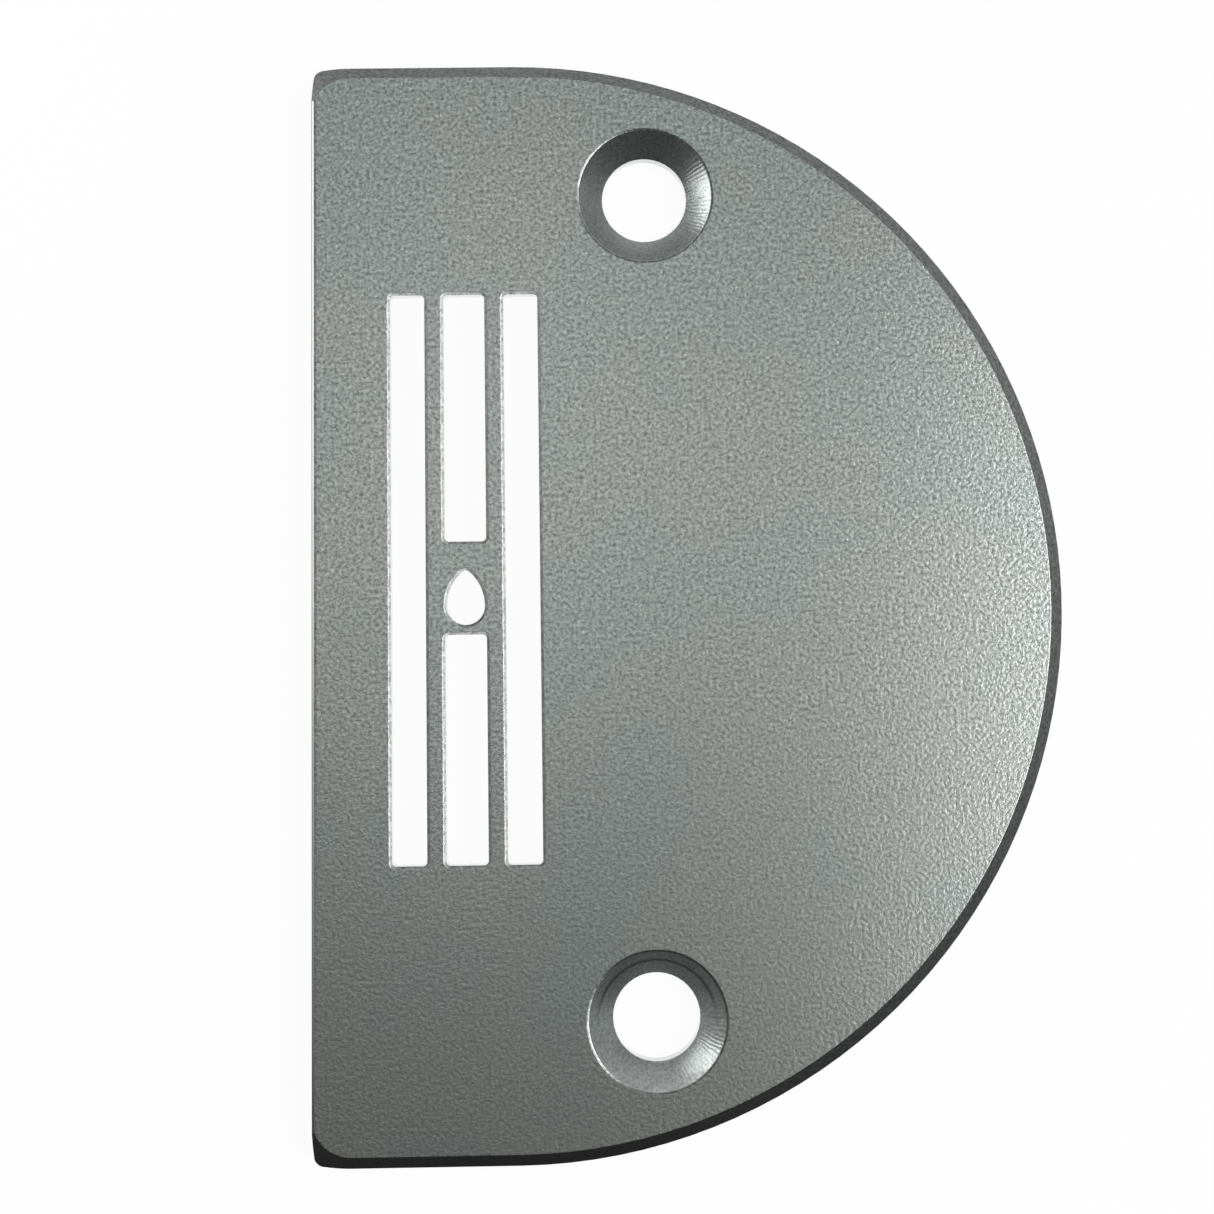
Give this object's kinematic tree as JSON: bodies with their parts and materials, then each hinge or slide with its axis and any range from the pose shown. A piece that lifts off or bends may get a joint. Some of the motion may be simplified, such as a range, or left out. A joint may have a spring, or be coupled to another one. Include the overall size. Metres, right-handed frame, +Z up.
{
  "type": "sewing machine needle plate",
  "caption": "D-shaped steel needle plate with countersunk screw holes, feed dog slots and an egg-shaped needle hole in the bridge between them.",
  "frame": {"origin": "centre of the plate's bounding box in plan, on the underside", "axes": "+Z up out of the sewing face, +Y along the straight edge to the rear of the bed, where the needle hole's narrow end points, +X from the straight edge to the arc"},
  "size_m": [0.0434, 0.0636, 0.0025],
  "materials": {
    "plated_steel": "satin, blasted to a fine even grain and plated, with bright turned cones in the screw holes"
  },
  "bodies": {
    "root": {"needle_plate": "plated_steel"}
  },
  "joints": []
}
